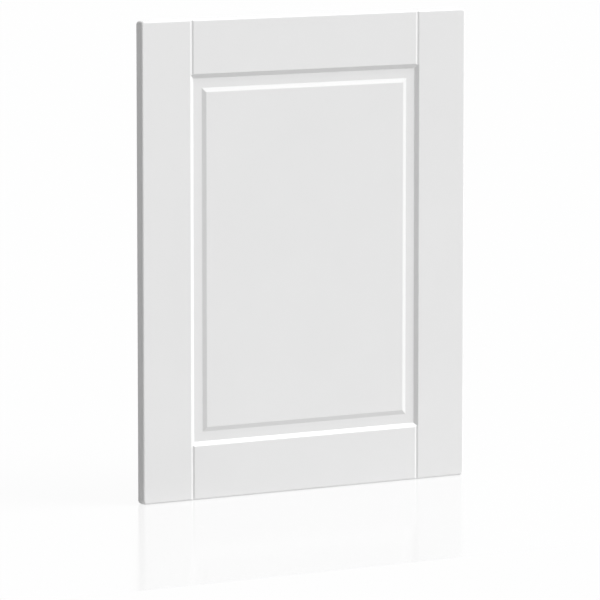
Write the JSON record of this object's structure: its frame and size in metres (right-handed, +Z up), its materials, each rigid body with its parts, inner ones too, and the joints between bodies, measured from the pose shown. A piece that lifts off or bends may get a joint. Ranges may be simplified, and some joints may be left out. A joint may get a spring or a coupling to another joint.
{
  "type": "dishwasher door panel",
  "caption": "Flat front panel for a built-in dishwasher: two stiles and two rails framing a raised centre panel, white satin lacquer, plain back.",
  "frame": {"origin": "middle of the flat back face, which lies against the appliance door", "axes": "+Z up the panel's height, +X across its width, +Y out of the back; the decorated front faces -Y"},
  "size_m": [0.594, 0.018, 0.762],
  "materials": {
    "white_lacquer": "fibreboard under satin white lacquer"
  },
  "bodies": {
    "root": {"left_stile": "white_lacquer", "right_stile": "white_lacquer", "top_rail": "white_lacquer", "bottom_rail": "white_lacquer", "centre_panel": "white_lacquer"}
  },
  "joints": []
}
